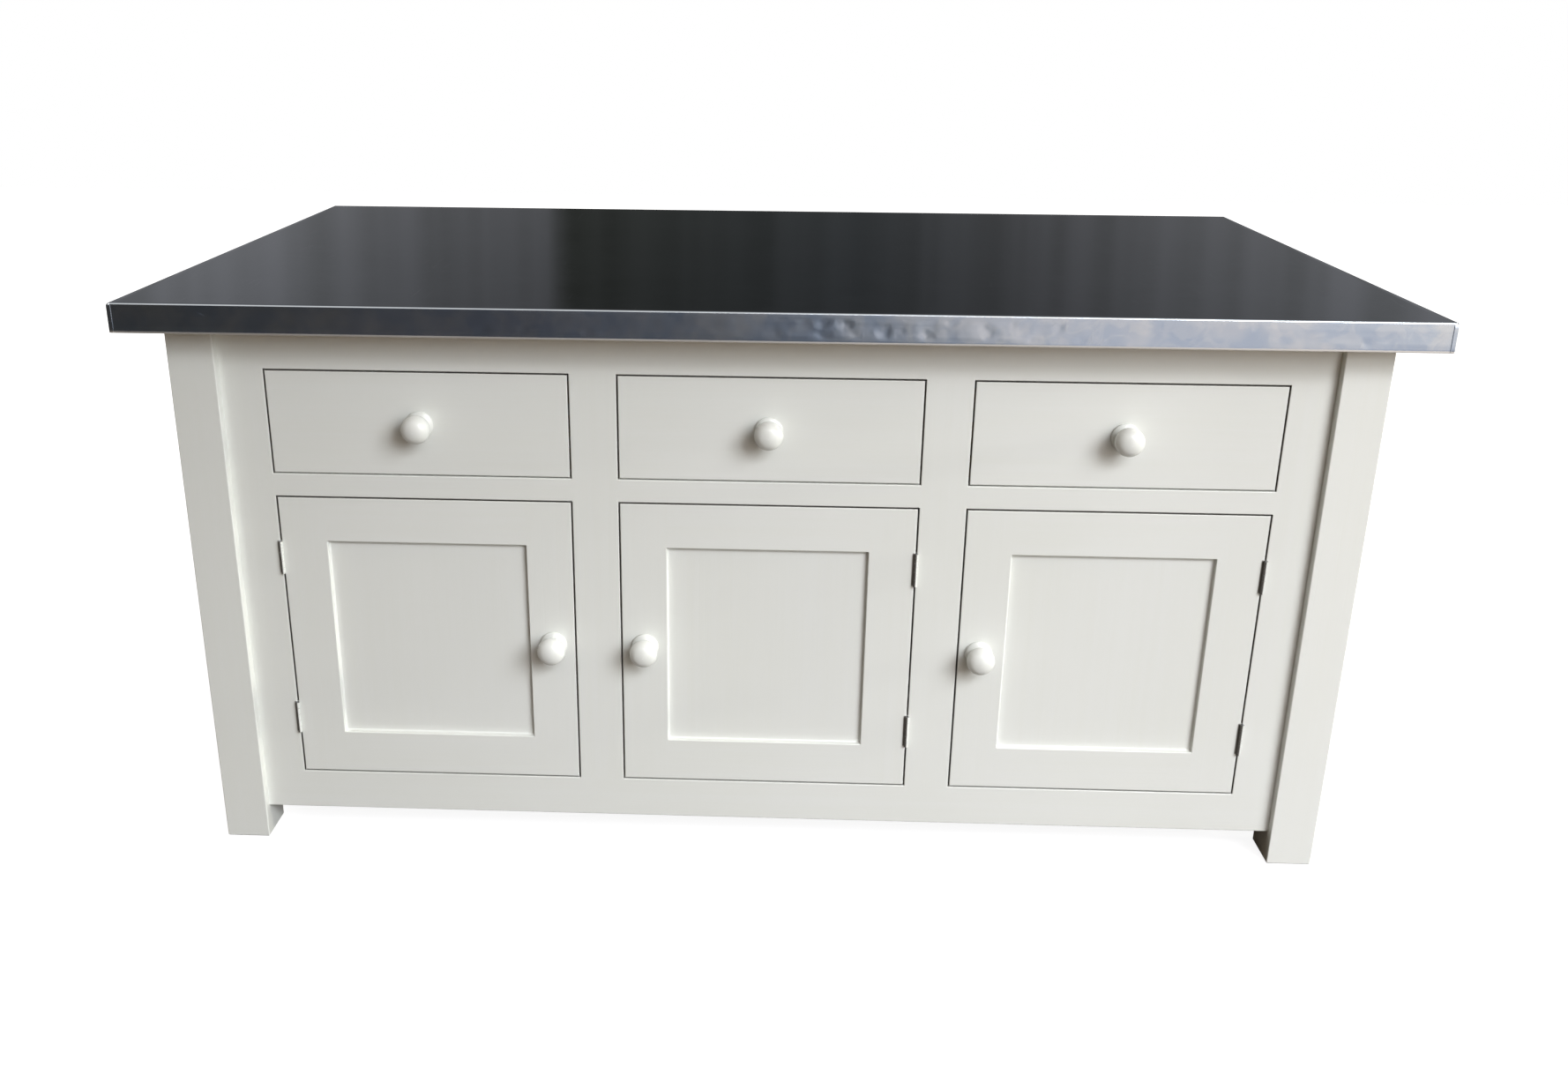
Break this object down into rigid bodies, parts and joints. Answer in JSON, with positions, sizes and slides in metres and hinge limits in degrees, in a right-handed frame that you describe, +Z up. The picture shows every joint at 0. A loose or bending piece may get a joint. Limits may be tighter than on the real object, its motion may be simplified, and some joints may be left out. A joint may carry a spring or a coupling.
{
  "type": "kitchen island unit",
  "caption": "Free-standing painted kitchen island on square posts, with inset drawers over inset panelled doors, turned knobs and an overhanging zinc-covered worktop.",
  "frame": {"origin": "on the floor, under the centre of the worktop", "axes": "+X along the front to the right, +Y from front to back, +Z up; the drawers and doors face -Y"},
  "size_m": [1.87, 1.0412, 0.9],
  "materials": {
    "paint": "satin off-white brushed paint on timber",
    "zinc": "dark patinated zinc sheet, softly polished",
    "plywood": "birch plywood, clear matt lacquer",
    "oak": "planed oak, waxed",
    "steel": "plain bright steel",
    "hinge_paint": "satin off-white paint on steel",
    "catch_plastic": "moulded white plastic"
  },
  "bodies": {
    "carcass": {"zinc_top": "zinc", "worktop_board": "plywood", "post_front_left": "paint", "post_front_right": "paint", "post_back_left": "paint", "post_back_right": "paint", "front_top_rail": "paint", "front_middle_rails": "paint", "front_bottom_rail": "paint", "front_end_stiles": "paint", "front_mullions": "paint", "side_rails": "paint", "back_rails": "paint", "muntins": "paint", "side_panels": "paint", "back_panels": "paint", "base_board": "plywood", "carcass_ends": "plywood", "partitions": "plywood", "drawer_runners": "oak", "drawer_kickers": "oak", "shelves": "plywood", "shelf_pins": "steel", "worktop_fixings": "oak", "hinge_frame_leaves": "hinge_paint", "hinge_pins": "steel", "door_catches": "catch_plastic"},
    "drawer_left": {"drawer_front_left": "paint", "drawer_sides_left": "plywood", "drawer_back_left": "plywood", "drawer_bottom_left": "plywood", "drawer_knob_left": "paint"},
    "door_left": {"door_stiles_left": "paint", "door_rails_left": "paint", "door_panel_left": "paint", "door_knob_left": "paint", "door_hinge_leaves_left": "hinge_paint", "door_catch_plate_left": "steel"},
    "drawer_centre": {"drawer_front_centre": "paint", "drawer_sides_centre": "plywood", "drawer_back_centre": "plywood", "drawer_bottom_centre": "plywood", "drawer_knob_centre": "paint"},
    "door_centre": {"door_stiles_centre": "paint", "door_rails_centre": "paint", "door_panel_centre": "paint", "door_knob_centre": "paint", "door_hinge_leaves_centre": "hinge_paint", "door_catch_plate_centre": "steel"},
    "drawer_right": {"drawer_front_right": "paint", "drawer_sides_right": "plywood", "drawer_back_right": "plywood", "drawer_bottom_right": "plywood", "drawer_knob_right": "paint"},
    "door_right": {"door_stiles_right": "paint", "door_rails_right": "paint", "door_panel_right": "paint", "door_knob_right": "paint", "door_hinge_leaves_right": "hinge_paint", "door_catch_plate_right": "steel"}
  },
  "joints": [
    {"name": "drawer_left_slide", "type": "slide", "parent": "carcass", "child": "drawer_left", "axis": [0, -1, 0], "range_m": [0, 0.42]},
    {"name": "drawer_centre_slide", "type": "slide", "parent": "carcass", "child": "drawer_centre", "axis": [0, -1, 0], "range_m": [0, 0.42]},
    {"name": "drawer_right_slide", "type": "slide", "parent": "carcass", "child": "drawer_right", "axis": [0, -1, 0], "range_m": [0, 0.42]},
    {"name": "door_left_hinge", "type": "hinge", "parent": "carcass", "child": "door_left", "pos_m": [-0.747, -0.4561, 0.3555], "axis": [0, 0, -1], "range_deg": [0, 165]},
    {"name": "door_centre_hinge", "type": "hinge", "parent": "carcass", "child": "door_centre", "pos_m": [0.225, -0.4561, 0.3555], "axis": [0, 0, 1], "range_deg": [0, 150]},
    {"name": "door_right_hinge", "type": "hinge", "parent": "carcass", "child": "door_right", "pos_m": [0.747, -0.4561, 0.3555], "axis": [0, 0, 1], "range_deg": [0, 165]}
  ]
}
